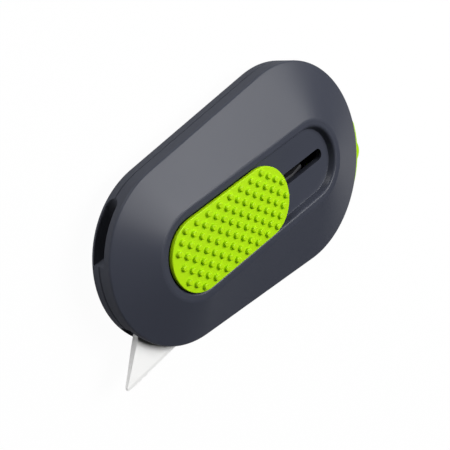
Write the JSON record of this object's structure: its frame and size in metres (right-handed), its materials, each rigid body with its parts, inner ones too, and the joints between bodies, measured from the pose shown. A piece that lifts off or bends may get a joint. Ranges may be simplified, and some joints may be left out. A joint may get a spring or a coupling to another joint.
{
  "type": "utility knife",
  "caption": "Pocket utility knife: rounded two-shell casing, ceramic blade driven out of one end by a bumpy thumb slider, and a sprung rear latch that opens the back.",
  "frame": {"origin": "centre of the casing's outline, on the plane of the flat back face", "axes": "+Z out of the front, where the thumb slider is; X along the casing with the blade at the -X end; the blade leaves the casing on its -Y side"},
  "size_m": [0.0656, 0.036, 0.0113],
  "materials": {
    "casing": "fine-grained moulded plastic",
    "lime": "satin moulded plastic",
    "inner_plastic": "smooth moulded plastic",
    "acetal": "smooth machined plastic",
    "ceramic": "ground zirconia ceramic, satin",
    "steel": "bright steel",
    "spring_steel": "drawn spring steel",
    "brass": "knurled brass",
    "nickel": "nickel plated"
  },
  "bodies": {
    "casing": {"front_cover": "casing", "back_cover": "casing", "guide_rail": "acetal", "rail_pins": "steel", "detent_spring": "spring_steel", "spring_rivets": "steel", "latch_springs": "spring_steel", "latch_strap": "steel", "strap_screws": "steel", "strap_inserts": "brass", "magnet_cup": "steel", "holding_magnet": "nickel"},
    "slider": {"slider_grip": "lime", "slider_base": "lime", "slider_retainer": "inner_plastic", "retainer_screws": "steel", "drive_pin": "steel"},
    "carrier": {"blade_carrier": "inner_plastic", "blade_keeper": "steel", "blade_studs": "steel", "ceramic_blade": "ceramic"},
    "latch": {"rear_latch": "lime"}
  },
  "joints": [
    {"name": "slider_slide", "type": "slide", "parent": "casing", "child": "slider", "axis": [1, 0, 0], "range_m": [0, 0.01385], "deforming": ["detent_spring"]},
    {"name": "carrier_slide", "type": "slide", "parent": "casing", "child": "carrier", "axis": [0.9903, 0.1392, 0], "range_m": [0, 0.01399]},
    {"name": "latch_press", "type": "slide", "parent": "casing", "child": "latch", "axis": [-1, 0, 0], "range_m": [0, 0.0015], "stiffness_N_per_m": 300, "springref_m": -0.001, "deforming": ["latch_springs"]}
  ],
  "couplings": [
    {"joint": "carrier_slide", "follows": "slider_slide", "ratio": 1.0098}
  ]
}
